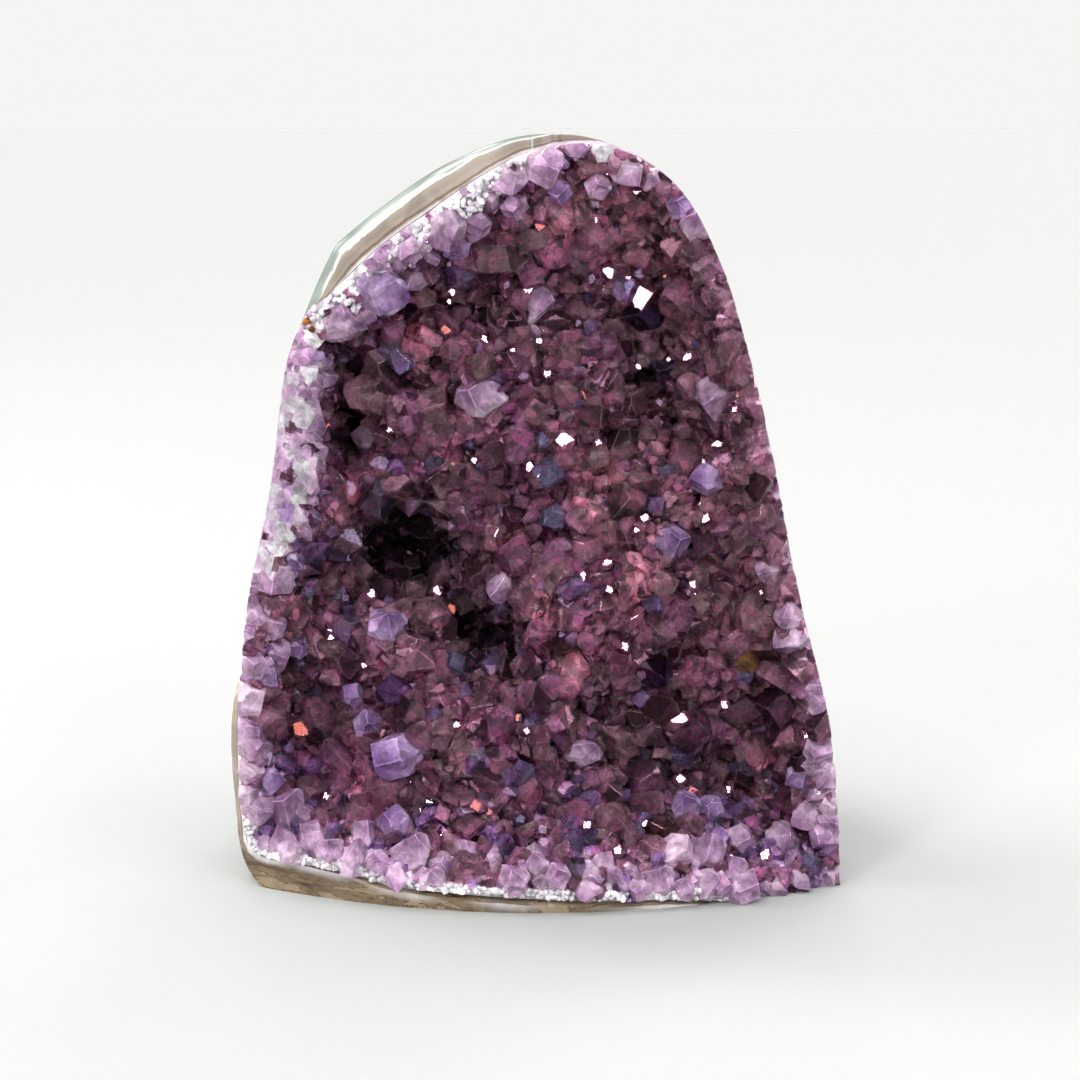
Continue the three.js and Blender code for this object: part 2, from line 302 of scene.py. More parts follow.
# how far in from the edge of the face, or up from the sawn base
def insideEdge(x, z):
    angle, radius = polar(x, z)
    return np.minimum(edgeRadius(angle) - radius, z + lining["baseRim"])


# 0 on the flat rim, 1 where the bed has its full depth
def rampIn(x, z):
    near = nearBand(polar(x, z)[0])
    width = lerp(lining["band"]["narrow"], lining["band"]["wide"], near)
    return smooth((insideEdge(x, z) - width) / lerp(lining["rampLong"], lining["rampShort"], near))


def hollowness(x, z):
    depth = 0
    for hx, hz, radius, d in lining["shapes"]:
        depth = depth + d * bell(np.hypot(x - hx, z - hz), radius)
    return depth


def bedY(x, z):
    ramp = rampIn(x, z)
    waves = layeredLumps(x, z, lining["waves"])
    depth = ramp * (lining["bedDepth"] + hollowness(x, z) + waves) + lining["crystalRoom"] * smooth(ramp * 3)
    deepest = bowlY(x, z) - faceY(x, z) - lining["leastCrust"] * ramp
    return faceY(x, z) + np.minimum(depth, np.maximum(0, deepest))


def bedNormal(x, z):
    step = 0.8
    slopeX = (bedY(x + step, z) - bedY(x - step, z)) / (2 * step)
    slopeZ = (bedY(x, z + step) - bedY(x, z - step)) / (2 * step)
    normal = np.stack([slopeX, -np.ones_like(slopeX), slopeZ], -1)
    return normal / np.linalg.norm(normal, axis=-1, keepdims=True)


def readAll(items, name):
    values = np.empty(len(items) * 3)
    items.foreach_get(name, values)
    return values.reshape(-1, 3)


def meshPoints(piece):
    return readAll(piece.data.vertices, "co") / mm


# A ball whose poles face front and back. place(share, angle) says where each of its vertices goes.
def shapedBall(name, segments, rings, place):
    deselectAll()
    bpy.ops.mesh.primitive_uv_sphere_add(segments=segments, ring_count=rings, radius=1, location=(0, 0, 0))
    ball = bpy.context.object
    ball.name = name
    points = readAll(ball.data.vertices, "co")
    share = np.arccos(np.clip(points[:, 2], -1, 1)) / math.pi
    angle = np.arctan2(points[:, 1], points[:, 0])
    moved = place(share, angle) * mm
    ball.data.vertices.foreach_set("co", moved.ravel())
    ball.data.update()
    return ball


def onRing(radius, angle):
    return stone["centre"][0] + radius * np.cos(angle), stone["centre"][1] + radius * np.sin(angle)


def quartzDepth(angle):
    return lerp(lining["side"], lining["leastSide"], agateShows(angle))


def liningRadius(angle):
    return edgeRadius(angle) - lining["edgeStep"] - lining["step"] * (1 - agateShows(angle))


# front, side, step and bowl of the lining, as far in from its true surface as inset says
def liningPlace(frontY, inset, stops=(0.74, 0.80, 0.82)):
    def place(share, angle):
        frontEnd, sideEnd, stepEnd = stops
        front = np.clip(share / frontEnd, 0, 1)
        side = np.clip((share - frontEnd) / (sideEnd - frontEnd), 0, 1)
        step = np.clip((share - sideEnd) / (stepEnd - sideEnd), 0, 1)
        bowl = np.clip((share - stepEnd) / (1 - stepEnd), 0, 1)
        outer = edgeRadius(angle) - inset
        inner = liningRadius(angle) - inset
        radius = front * lerp(outer, inner, step) * (1 - bowl)
        x, z = onRing(radius, angle)
        sideBack = faceY(x, z) + quartzDepth(angle) - inset
        y = np.where(share <= frontEnd, frontY(x, z), lerp(frontY(x, z), sideBack, side))
        bowlBack = bowlY(x, z) + quartzDepth(angle) * (1 - bowl) ** 4 - inset
        y = np.where(share > stepEnd, bowlBack, y)
        return np.stack([x, y, z], -1)
    return place


def cutAtBase(piece):
    deselectAll()
    bpy.context.view_layer.objects.active = piece
    piece.select_set(True)
    bpy.ops.object.mode_set(mode="EDIT")
    bpy.ops.mesh.select_all(action="SELECT")
    bpy.ops.mesh.bisect(plane_co=(0, 0, 0), plane_no=(0, 0, 1), use_fill=True, clear_inner=True)
    bpy.ops.object.mode_set(mode="OBJECT")


crystals = {
    "seed": 7, "shapes": 12, "slope": 51.8, "uneven": 0.3, "minorFaces": [0.05, 0.25, 0.6],
    "worn": 0.035, "wornFrom": 1.2, "edgeArea": 0.1, "rootDepth": 2.6, "reach": 3.8, "tilt": 0.42,
    "largeTilt": 0.5, "rise": (0.3, 1.25), "leastRise": 0.6, "stretch": (0.72, 1.35), "spacing": 0.52,
    "leastInside": 0.4, "leastHeight": 0.3, "tries": 14, "cutShade": 0.8, "mostCutShade": 0.85,
    # edgeHighlight paints some of the worn edges pale, a painted highlight; edges in clear and cloudy below
    # is the chance of it
    "palestTone": 0.92, "edgeHighlight": 0.9, "edgeHighlightShare": (0.7, 1.2),
    # root and tip scale the colour from a crystal's foot to its point; the clear ones darken at the foot, a
    # painted shade between the crystals
    "clear": {"edges": 0.4, "shade": (0.2, 2.1), "root": 0.42, "tip": 1.3},
    "cloudy": {"edges": 0.7, "shade": (0.5, 1.45), "root": 1.05, "tip": 0.95},
    "sizes": [(300, 2.4, 3.8), (900, 1.5, 2.4), (1300, 0.8, 1.5), (500, 0.5, 0.8)],
    "rim": {"step": 3.5, "sizes": (1.9, 3.0), "inside": (1.2, 4.8), "pastSugar": 2.4, "spacing": 0.72},
    "band": {
        "count": 70, "sizes": (1.1, 2.4), "inside": (0.5, 6.4), "spacing": 0.55, "tries": 800,
        "kinds": {"lilac": 0.8, "rose": 0.06, "purple": 0.14}},
    "sugar": {
        "count": 620, "sizes": (0.32, 0.68), "width": 5, "lowWidth": 1.6, "spacing": 0.6, "tries": 8},
    "sparks": {"count": 120, "upTo": 1.3, "lamps": {"window": 0.5, "skylight": 0.42, "lamp": 0.08}},
    # hollow darkens the crystals that stand deep in a hollow: a painted shade
    "strength": {
        "usual": 0.72, "varies": 0.72, "cloudyShare": 0.25, "hollow": 0.1, "hollowFrom": 12,
        "hollowFade": 8, "low": 0.5, "lowHeight": 26},
    # painted light and shade: paler parts, and darker ones in the hollows: x, z, radius and gain
    "patches": [
        (3, 84, 14, 0.3), (14, 53, 9, 0.6), (-7, 62, 5, 0.6), (-24, 39, 8, 0.6), (16, 40, 10, 0.3),
        (31, 70, 8, 0.6), (18, 79, 6, -0.5), (-31, 73, 5, -0.5), (-31, 64, 5, -0.5), (-7, 34, 5, -0.5),
        (28, 16, 5, -0.4), (17, 16, 4, -0.4)],
    # x, z, radius, how far the tip stands off the bed, and the colour
    "large": [
        (-37.4, 92.6, 0.8, 1.2, "rust"), (-36.5, 91.4, 0.6, 1.1, "rust"),
        (-22.3, 22.3, 3.9, 7.5, "purple"), (-25.3, 42.1, 3.7, 4.8, "purple"),
        (-25.7, 97.8, 4, 5.5, "purple"), (-26, 102.5, 2.2, 4, "lilac"), (-20.3, 104.4, 2.2, 3.5, "lilac"),
        (-14.8, 107.5, 3.4, 4.5, "lilac"), (-13.4, 104.6, 2.4, 4, "purple"), (-10, 108.3, 2.3, 4, "lilac"),
        (-3.9, 111.1, 2.5, 4, "lilac"), (0.9, 117.2, 3.6, 4.5, "lilac"), (5.5, 120.5, 2.3, 3, "lilac"),
        (10, 119.7, 2.2, 3, "white"), (9.1, 113.8, 2.3, 4, "lilac"), (3.3, 113.6, 2, 3.5, "purple"),
        (8, 117.2, 3, 3, "milk"), (22.3, 111, 2.4, 3, "purple"), (25, 108.2, 3, 3.5, "lilac"),
        (21.8, 104.7, 2.4, 4, "smoke"), (-19.5, 96.6, 2, 4, "milk"), (-8.9, 85, 2.6, 5, "milk"),
        (-24.7, 82.7, 3.4, 6, "rose"), (-26, 79.4, 3.6, 7, "smoke"), (17.4, 93.5, 3.6, 5.5, "deep"),
        (2.6, 68.3, 2.6, 5.5, "slate"), (3.1, 61.2, 2.3, 5, "slate"), (8.7, 69.9, 2.2, 4.5, "milk"),
        (28.1, 66.6, 2.9, 4.5, "purple"), (33.5, 70.1, 2.2, 3.5, "rose"), (36.4, 61.9, 2.8, 3.5, "rose"),
        (21.2, 55.8, 3.4, 4.5, "purple"), (10.7, 58.6, 3.6, 4, "milk"), (16.3, 66.1, 2.6, 4.5, "smoke"),
        (40.5, 45.5, 2.6, 3, "lilac"), (40.7, 40.7, 3, 3, "lilac"), (37.2, 52.8, 2.8, 2.5, "lilac"),
        (34.3, 35.9, 2.6, 4, "honey"), (18.7, 35.5, 3.4, 4.5, "deep"), (25.2, 45.5, 2.4, 5, "milk"),
        (46.3, 22.4, 3.2, 2.5, "lilac"), (43.6, 17.2, 2.7, 3.5, "purple"), (45.5, 30.8, 2.4, 2.5, "lilac"),
        (27.4, 6, 3.4, 4.5, "lilac"), (29.6, 7.4, 1.6, 3.5, "purple"), (2.9, 5.3, 2.3, 3.5, "lilac"),
        (-4, 5.1, 2.7, 4, "lilac"), (32.3, 4, 2.1, 3, "lilac"), (7.7, 3.2, 2.6, 2.5, "lilac"),
        (19.3, 4.6, 3, 3, "lilac"), (24.4, 11.2, 2.8, 5, "purple"), (28.4, 11.1, 2.6, 4.5, "purple"),
        (40.3, 6.7, 3.5, 4, "lilac"), (11.9, 10.9, 3.8, 4.5, "milk"), (-42.9, 56.6, 2.6, 2.5, "lilac"),
        (-43.6, 50.9, 3.8, 3, "lilac"), (-40.9, 53.6, 2.4, 3, "purple"), (-43.9, 43, 2.8, 2.5, "lilac"),
        (-43.6, 37.9, 3.8, 3.5, "lilac"), (-40.9, 37.9, 2.2, 3.8, "purple"),
        (-47.1, 36.8, 2.2, 2.5, "lilac"), (-45.1, 34.3, 2.3, 3, "purple"), (-47.2, 26.1, 3.6, 3, "lilac"),
        (-46.8, 23.2, 3.2, 3, "lilac"), (-45.3, 16.4, 2.7, 3.5, "purple"), (-46.1, 12.2, 3, 3, "lilac"),
        (-34.3, 7.7, 2.6, 3, "lilac"), (-42.9, 8.2, 3, 2.5, "lilac"), (-23.5, 11.1, 2.8, 4.5, "purple"),
        (-20.8, 7.7, 3.8, 4.5, "lilac"), (-26.5, 6.7, 2.2, 3, "lilac"), (-12, 6.4, 3, 3.5, "rose"),
        (-33.5, 55.9, 3.1, 4.5, "rose"), (-35.5, 48.4, 2.6, 4, "milk"), (-30.4, 29.3, 2.2, 4.5, "purple"),
        (-23.4, 31.5, 2.7, 5, "deep"), (-15.2, 34.7, 2.5, 5, "slate"), (-28.6, 25.5, 2.7, 4, "purple"),
        (-30.1, 90.5, 2.4, 3.5, "milk"), (-38.1, 80.4, 3, 1.5, "lilac"), (-39.1, 74, 3.4, 1.5, "lilac"),
        (-36.3, 74.8, 2.4, 2, "lilac"), (-38.7, 69.2, 2.8, 1.5, "lilac"), (-35.8, 89.2, 2.6, 1.5, "white"),
        (-37.2, 84.8, 2.4, 1.5, "white"), (-39, 64.4, 3, 1.5, "lilac"), (-37.5, 60.5, 2.2, 2, "purple")],
    # x, z and radius of small ones that have a face turned to a lamp
    "glints": [
        (-19.3, 97.1, 0.94, "window"), (-20.9, 96, 0.72, "window"), (-14.2, 97.4, 0.94, "window"),
        (-14.7, 95.8, 0.72, "window"), (-5, 87.2, 0.72, "window"), (-5.6, 98.7, 1, "skylight"),
        (-1.8, 98, 1.1, "window"), (-15.6, 89.5, 1.2, "lamp"), (-25.9, 68.4, 2.2, "skylight"),
        (-31.9, 62.8, 1.9, "skylight"), (2.6, 68.1, 1.7, "skylight"), (-2.3, 83.2, 1.2, "skylight"),
        (-0.6, 89, 0.79, "window"), (-34.6, 80.7, 0.94, "window"), (8.2, 99.7, 1.1, "skylight"),
        (11.1, 100.6, 1.7, "window"), (14.3, 99.8, 0.86, "window"), (12.1, 98.2, 0.72, "window"),
        (17.2, 96.4, 2.7, "window"), (15.9, 114.1, 0.86, "window"), (8.7, 109.3, 0.65, "window"),
        (2.6, 83.1, 0.94, "window"), (15.8, 84.4, 0.79, "window"), (25.3, 86.6, 1.2, "window"),
        (21.9, 86, 0.65, "window"), (3.4, 72.9, 2, "window"), (3.1, 61.4, 1.2, "skylight"),
        (8.9, 72.6, 0.79, "window"), (16.5, 60.6, 0.94, "window"), (15.2, 58.9, 0.79, "window"),
        (10.3, 53.4, 1, "window"), (11.3, 49.9, 1.1, "window"), (13.8, 40.4, 1.2, "window"),
        (30.4, 72.3, 1.3, "window"), (27.9, 60.7, 0.94, "window"), (32.9, 63.5, 0.79, "skylight"),
        (26.4, 69.7, 0.65, "window"), (26, 61.7, 0.65, "window"), (32.3, 79.3, 0.79, "window"),
        (24.7, 47.6, 0.79, "window"), (36.2, 38.9, 0.65, "window"), (2, 37.4, 0.65, "window"),
        (22.4, 26.5, 2.2, "window"), (30.4, 29, 1.1, "window"), (22.9, 15.7, 0.94, "window"),
        (24.6, 13.6, 0.94, "lamp"), (31.5, 12.7, 0.86, "window"), (7.3, 10.5, 0.86, "window"),
        (12.4, 7.1, 1.2, "window"), (17, 9.9, 0.79, "window"), (36.9, 4.5, 1.1, "window"),
        (0.5, 10, 1, "skylight"), (-41.3, 24.4, 1.9, "lamp"), (-15.3, 44.5, 1.2, "lamp"),
        (-16.9, 45.4, 0.94, "window"), (-14.3, 27, 0.86, "window"), (-33.5, 39.6, 0.79, "window"),
        (-9.4, 14.3, 1.4, "lamp"), (-35.1, 12.6, 0.86, "window"), (-2.8, 25.9, 0.65, "window"),
        (-20.3, 104.9, 0.86, "lamp"), (0.2, 9.9, 0.86, "skylight"), (-15.8, 46.4, 0.72, "window"),
        (-29.8, 15.7, 0.72, "window"), (-21.7, 53.4, 0.79, "skylight"), (-10.8, 70.1, 0.72, "window"),
        (23.7, 49.1, 0.72, "skylight")],
}

# colour at the tip and at the root
palette = {
    "mauve": ("#ac7e94", "#d0a8b8"), "plum": ("#845c78", "#b08aa4"), "smoke": ("#a27e8c", "#c6a4ae"),
    "violet": ("#806a98", "#b09ec0"), "lilac": ("#b288b2", "#e8cce2"), "rose": ("#b892a0", "#d0b4c0"),
    "milk": ("#c8a8b0", "#bc9a9e"), "slate": ("#8888ac", "#a49cba"), "honey": ("#b89468", "#d0b088"),
    "deep": ("#443058", "#7c5c88"), "white": ("#f4f0f4", "#efe9ee"), "purple": ("#7c5c90", "#ccb2d6"),
    "rust": ("#8a5426", "#6e4a30"),
}
cloudyKinds = ("lilac", "white", "purple", "rust")
kinds = list(palette)


# One quartz point of radius 1 with its shoulder at height 0: a six-sided prism cut by six planes.
def cutCrystal(rng, worn):
    deselectAll()
    bpy.ops.mesh.primitive_cylinder_add(vertices=6, radius=1, depth=8, location=(0, 0, 0))
    crystal = bpy.context.object
    bpy.ops.object.mode_set(mode="EDIT")
    slope = math.radians(crystals["slope"])
    minor = rng.choice(crystals["minorFaces"])
    flatRadius = 0.866
    for side in range(6):
        turn = math.radians(60 * side + 30)
        height = (0 if side % 2 else minor) + rng.uniform(-crystals["uneven"], crystals["uneven"])
        bpy.ops.mesh.select_all(action="SELECT")
        bpy.ops.mesh.bisect(
            plane_co=(flatRadius * math.cos(turn), flatRadius * math.sin(turn), height),
            plane_no=(math.cos(turn) * math.sin(slope), math.sin(turn) * math.sin(slope), math.cos(slope)),
            use_fill=True, clear_outer=True)
    bpy.ops.mesh.select_all(action="SELECT")
    bpy.ops.mesh.remove_doubles(threshold=0.02)
    if worn:
        bpy.ops.mesh.bevel(offset=worn, segments=1)
    bpy.ops.object.mode_set(mode="OBJECT")
    points = np.array([v.co[:] for v in crystal.data.vertices])
    faces = [list(f.vertices) for f in crystal.data.polygons]
    edges = [f.area < crystals["edgeArea"] and worn > 0 for f in crystal.data.polygons]
    bpy.data.objects.remove(crystal)
    return points, faces, edges, points[:, 2].max()


# the browner part of the stone: its right side, above the foot
def rightShare(x, z):
    return smooth((x + 2 + 0.35 * (z - 60)) / 40) * smooth((z - 25) / 30)


def choose(chances, rng):
    weights = np.array(list(chances.values()))
    return rng.choice(list(chances), p=weights / weights.sum())


# the kind of crystal that grows at a place, by chance
def zoneKind(x, z, inside, rng):
    right = rightShare(x, z)
    low = bell(z - 3, 14)
    rim = bell(inside, 4.5)
    chances = {
        "mauve": 1, "plum": 0.55, "smoke": 0.3 + 1.6 * right, "violet": 0.16 + 0.9 * low,
        "rose": 0.06 + 0.4 * right + 1.2 * rim * right, "milk": 0.04, "lilac": 0.02 + 3.5 * rim * (1 - right),
        "slate": 0.05,
    }
    return kinds.index(choose(chances, rng))


# Every crystal as x, y, z, radius, rise and kind. The first ones stand out, then come those that glint.
def placeCrystals():
    rng = np.random.default_rng(crystals["seed"])
    spots = [(x, 0, z, radius, rise, kinds.index(kind)) for x, z, radius, rise, kind in crystals["large"]]
    for x, z, radius, lamp in crystals["glints"]:
        spots.append((x, 0, z, radius, 1.2 * radius + 1.2, kinds.index("mauve")))
    kept = np.array(spots, float)
    kept[:, 1] = bedY(kept[:, 0], kept[:, 2])

    def tryPlaces(name, x, z, size, wanted, spacing, chooseKind):
        nonlocal kept
        inside, y, found = insideEdge(x, z), bedY(x, z), 0
        for n in range(len(x)):
            if inside[n] < crystals["leastInside"] or z[n] < crystals["leastHeight"] or found >= wanted:
                continue
            gap = np.linalg.norm(kept[:, :3] - (x[n], y[n], z[n]), axis=1)
            if (gap > spacing * (kept[:, 3] + size[n])).all():
                rise = size[n] * rng.uniform(*crystals["rise"]) + crystals["leastRise"]
                kept = np.vstack([kept, (x[n], y[n], z[n], size[n], rise, chooseKind(x[n], z[n], inside[n]))])
                found += 1
        print(name, found)

    rim, sugar = crystals["rim"], crystals["sugar"]
    angle = np.repeat(np.radians(np.arange(0, 360, rim["step"])), 3)
    behindSugar = rim["pastSugar"] * bell(turnFrom(angle, 115), 26)
    x, z = onRing(edgeRadius(angle) - rng.uniform(*rim["inside"], len(angle)) - behindSugar, angle)
    tryPlaces("rim crystals", x, z, rng.uniform(*rim["sizes"], len(x)), len(x), rim["spacing"],
              lambda x, z, inside: kinds.index("lilac" if x < 24 or z < 24 else "rose"))
    band = crystals["band"]
    reach = lining["band"]["spread"] * 1.25
    angle = np.radians(lining["band"]["angle"] + rng.uniform(-reach, reach, band["tries"]))
    x, z = onRing(edgeRadius(angle) - rng.uniform(*band["inside"], len(angle)), angle)
    tryPlaces("band crystals", x, z, rng.uniform(*band["sizes"], len(x)), band["count"], band["spacing"],
              lambda x, z, inside: kinds.index(choose(band["kinds"], rng)))
    angle = np.radians(rng.uniform(0, 360, sugar["count"] * sugar["tries"]))
    angle = angle[agateShows(angle) > 0.5]
    width = lerp(sugar["lowWidth"], sugar["width"], bell(turnFrom(angle, 115), 40))
    x, z = onRing(edgeRadius(angle) - rng.uniform(0.3, 1, len(angle)) ** 1.5 * width, angle)
    tryPlaces("sugar crystals", x, z, rng.uniform(*sugar["sizes"], len(x)), sugar["count"], sugar["spacing"],
              lambda x, z, inside: kinds.index("white"))
    for count, least, most in crystals["sizes"]:
        x = rng.uniform(-stone["halfWidth"], stone["halfWidth"], count * crystals["tries"])
        z = rng.uniform(0, stone["height"], count * crystals["tries"])
        tryPlaces(f"crystals of {least} to {most} mm", x, z, rng.uniform(least, most, len(x)), count,
                  crystals["spacing"], lambda x, z, inside: zoneKind(x, z, inside, rng))
    return kept


# a turn that makes one of the six faces throw the light of a lamp at the camera
def glintTurn(place, outward, lampName):
    place = Vector(place) * mm
    toLamp = (Vector(lights[lampName]["from"]) * mm - place).normalized()
    face = ((cameraPlace() - place).normalized() + toLamp).normalized()
    outward = Vector(outward)
    lean = (outward - face * outward.dot(face)).normalized()
    slope = math.radians(crystals["slope"])
    axis = face * math.cos(slope) + lean * math.sin(slope)
    across = (face - axis * face.dot(axis)).normalized()
    return Matrix((across.cross(axis), across, axis)).transposed()


def isCloudy(kept):
    return np.isin(kept[:, 5], [kinds.index(kind) for kind in cloudyKinds])


# tip and root colours of every crystal
def crystalTones(kept, rng):
    tips = np.array([tone(palette[kinds[int(kind)]][0]) for kind in kept[:, 5]])
    roots = np.array([tone(palette[kinds[int(kind)]][1]) for kind in kept[:, 5]])
    x, y, z = kept[:, :3].T
    cloudy = isCloudy(kept)
    look = crystals["strength"]
    spread = rng.normal(0, look["varies"], len(kept)) * lerp(1, look["cloudyShare"], cloudy)
    strength = np.exp(look["usual"] + spread)
    # painted shade: crystals that stand deep in the hollows are darkened
    deep = smooth((y - faceY(x, z) - look["hollowFrom"]) / look["hollowFade"])
    strength *= lerp(1, look["hollow"], deep)
    # painted light and shade, spot by spot, from the patches
    for spotX, spotZ, radius, lightAndShadeGain in crystals["patches"]:
        strength *= 1 + lightAndShadeGain * bell(np.hypot(x - spotX, z - spotZ), radius)
    strength *= 1 + look["low"] * bell(z, look["lowHeight"])
    return tips * strength[:, None], roots * strength[:, None]


def growCrystals(name, kept, turns, steady, tips, roots, shapes, cloudy, rng):
    size, rise = kept[:, 3], kept[:, 4]
    look = crystals["cloudy" if cloudy else "clear"]
    mostPale, narrow = crystals["edgeHighlightShare"]
    root = np.minimum(crystals["rootDepth"], 0.6 + size)
    way = np.array([turn[:, 2] for turn in turns])
    middle = kept[:, :3] + way * ((rise - root) / 2)[:, None]
    reach = np.sqrt(((rise + root) / 2) ** 2 + (1.1 * size) ** 2)
    # crystals of one group do not touch each other, so that whole groups can be joined at once
    group = np.zeros(len(kept), int)
    for n in range(len(kept)):
        gap = np.linalg.norm(middle[:n] - middle[n], axis=1)
        near = set(group[:n][gap < reach[:n] + reach[n]])
        group[n] = next(g for g in range(99) if g not in near)
    joined = None
    for g in range(group.max() + 1):
        points, faces, colours, total = [], [], [], 0
        for n in np.flatnonzero(group == g):
            worn = len(shapes) // 2 if size[n] > crystals["wornFrom"] else 0
            shape, shapeFaces, edges, top = shapes[worn + rng.integers(len(shapes) // 2)]
            grown = shape * size[n]
            if not steady[n]:
                grown[:, :2] *= rng.uniform(*crystals["stretch"], 2)
            grown[:, 2] += rise[n] - top * size[n]
            grown[grown[:, 2] < -root[n], 2] = -root[n]
            height = smooth((grown[:, 2] / rise[n] + 0.1) / 1.1)[:, None]
            # tone from root to tip, with the painted shade at the foot of the clear crystals
            ownTones = lerp(roots[n], tips[n], height) * lerp(look["root"], look["tip"], height)
            points.append(grown @ turns[n].T + kept[n, :3])
            for face, onEdge in zip(shapeFaces, edges):
                faces.append([v + total for v in face])
                faceTones = ownTones[face] * rng.uniform(*look["shade"])
                # painted highlight: a pale line on some of the worn edges
                if onEdge and rng.random() < look["edges"]:
                    faceTones = lerp(ownTones[face], crystals["edgeHighlight"], min(mostPale, narrow / size[n]))
                colours.append(faceTones * min(1, crystals["palestTone"] / faceTones.max()))
            total += len(shape)
        mesh = bpy.data.meshes.new(name)
        mesh.from_pydata((np.concatenate(points) * mm).tolist(), [], faces)
        setTint(mesh, np.concatenate(colours), "CORNER")
        piece = bpy.data.objects.new(name, mesh)
        bpy.context.collection.objects.link(piece)
        joined = piece if joined is None else combine(joined, piece, "UNION")
    print(name, "groups", group.max() + 1)
    return joined


def setTint(mesh, colours, domain):
    tint = mesh.attributes.new("tint", "FLOAT_COLOR", domain)
    tint.data.foreach_set("color", np.hstack([colours, np.ones((len(colours), 1))]).ravel())


def combine(base, other, operation):
    deselectAll()
    bpy.context.view_layer.objects.active = base
    base.select_set(True)
    join = base.modifiers.new("join", "BOOLEAN")
    join.operation = operation
    join.solver = "MANIFOLD"
    join.object = other
    bpy.ops.object.modifier_apply(modifier="join")
    bpy.data.objects.remove(other)
    return base


# The room that the crystals grow in: cut flat on the sides, under the base and along the ground rim.
def makeEnvelope(kept, tones):
    def reachY(x, z):
        angle, radius = polar(x, z)
        inside = edgeRadius(angle) - radius
        ground = nearBand(angle) * smooth((lining["band"]["wide"] + 4 - inside) / 3)
        return faceY(x, z) - lerp(crystals["reach"], 0.15, smooth(ground * 1.5))
    envelope = shapedBall("envelope", 240, 110, liningPlace(reachY, 0.06))
    cutAtBase(envelope)
    centres = readAll(envelope.data.polygons, "center") / mm
    tree = KDTree(len(kept))
    for n, place in enumerate(kept[:, :3]):
        tree.insert(place, n)
    tree.balance()
    nearest = np.array([tree.find(c)[1] for c in centres])
    counts = [len(face.vertices) for face in envelope.data.polygons]
    cutTones = np.minimum(tones[nearest] * crystals["cutShade"], crystals["mostCutShade"])
    setTint(envelope.data, np.repeat(cutTones, counts, axis=0), "CORNER")
    return envelope


# a tint broken up by cells with random shades, with cloudy patches over it
def makeGrainGroup():
    group = bpy.data.node_groups.new("brokenTint", "ShaderNodeTree")
    group.interface.new_socket("Tint", in_out="INPUT", socket_type="NodeSocketColor")
    for name in ("Cell Size", "Skew", "Darkest", "Palest"):
        group.interface.new_socket(name, in_out="INPUT", socket_type="NodeSocketFloat")
    group.interface.new_socket("Color", in_out="OUTPUT", socket_type="NodeSocketColor")
    nodes, links = group.nodes, group.links
    given, result = nodes.new("NodeGroupInput"), nodes.new("NodeGroupOutput")
    place = addNode(nodes, "ShaderNodeTexCoord")
    count = addNode(nodes, "ShaderNodeMath", {0: 1}, operation="DIVIDE")
    cells = addNode(nodes, "ShaderNodeTexVoronoi")
    split = addNode(nodes, "ShaderNodeSeparateColor")
    cloud = addNode(nodes, "ShaderNodeTexNoise", {"Scale": 420, "Detail": 3, "Roughness": 0.7})
    cloudShade = addNode(nodes, "ShaderNodeMapRange", mapped((0.3, 0.7), (0.6, 1.4)))
    skewed = addNode(nodes, "ShaderNodeMath", operation="POWER")
    cellShade = addNode(nodes, "ShaderNodeMapRange")
    both = addNode(nodes, "ShaderNodeMath", operation="MULTIPLY")
    shaded = addNode(nodes, "ShaderNodeMix", {"Factor": 1.0}, data_type="RGBA", blend_type="MULTIPLY")
    wire(links, [
        (given, "Cell Size", count, 1), (count, "Value", cells, "Scale"),
        (place, "Object", cells, "Vector"), (place, "Object", cloud, "Vector"),
        (cells, "Color", split, "Color"), (split, "Red", skewed, 0), (given, "Skew", skewed, 1),
        (skewed, "Value", cellShade, "Value"), (given, "Darkest", cellShade, "To Min"),
        (given, "Palest", cellShade, "To Max"), (cloud, "Fac", cloudShade, "Value"),
        (cellShade, "Result", both, 0), (cloudShade, "Result", both, 1), (given, "Tint", shaded, "A"),
        (both, "Value", shaded, "B"), (shaded, "Result", result, "Color")])
    return group


# a face broken into small flat patches that lie a little differently
def makePatchGroup():
    group = bpy.data.node_groups.new("unevenFaces", "ShaderNodeTree")
    for name in ("Patch Size", "Unevenness"):
        group.interface.new_socket(name, in_out="INPUT", socket_type="NodeSocketFloat")
    group.interface.new_socket("Normal", in_out="OUTPUT", socket_type="NodeSocketVector")
    nodes, links = group.nodes, group.links
    given, result = nodes.new("NodeGroupInput"), nodes.new("NodeGroupOutput")
    place = addNode(nodes, "ShaderNodeTexCoord")
    face = addNode(nodes, "ShaderNodeNewGeometry")
    count = addNode(nodes, "ShaderNodeMath", {0: 1}, operation="DIVIDE")
    cells = addNode(nodes, "ShaderNodeTexVoronoi")
    lean = addNode(nodes, "ShaderNodeVectorMath", {1: (0.5, 0.5, 0.5)}, operation="SUBTRACT")
    leant = addNode(nodes, "ShaderNodeVectorMath", operation="SCALE")
    both = addNode(nodes, "ShaderNodeVectorMath", operation="ADD")
    unit = addNode(nodes, "ShaderNodeVectorMath", operation="NORMALIZE")
    wire(links, [
        (given, "Patch Size", count, 1), (count, "Value", cells, "Scale"),
        (place, "Object", cells, "Vector"), (cells, "Color", lean, 0), (lean, "Vector", leant, 0),
        (given, "Unevenness", leant, "Scale"), (leant, "Vector", both, 0), (face, "Normal", both, 1),
        (both, "Vector", unit, 0), (unit, "Vector", result, "Normal")])
    return group


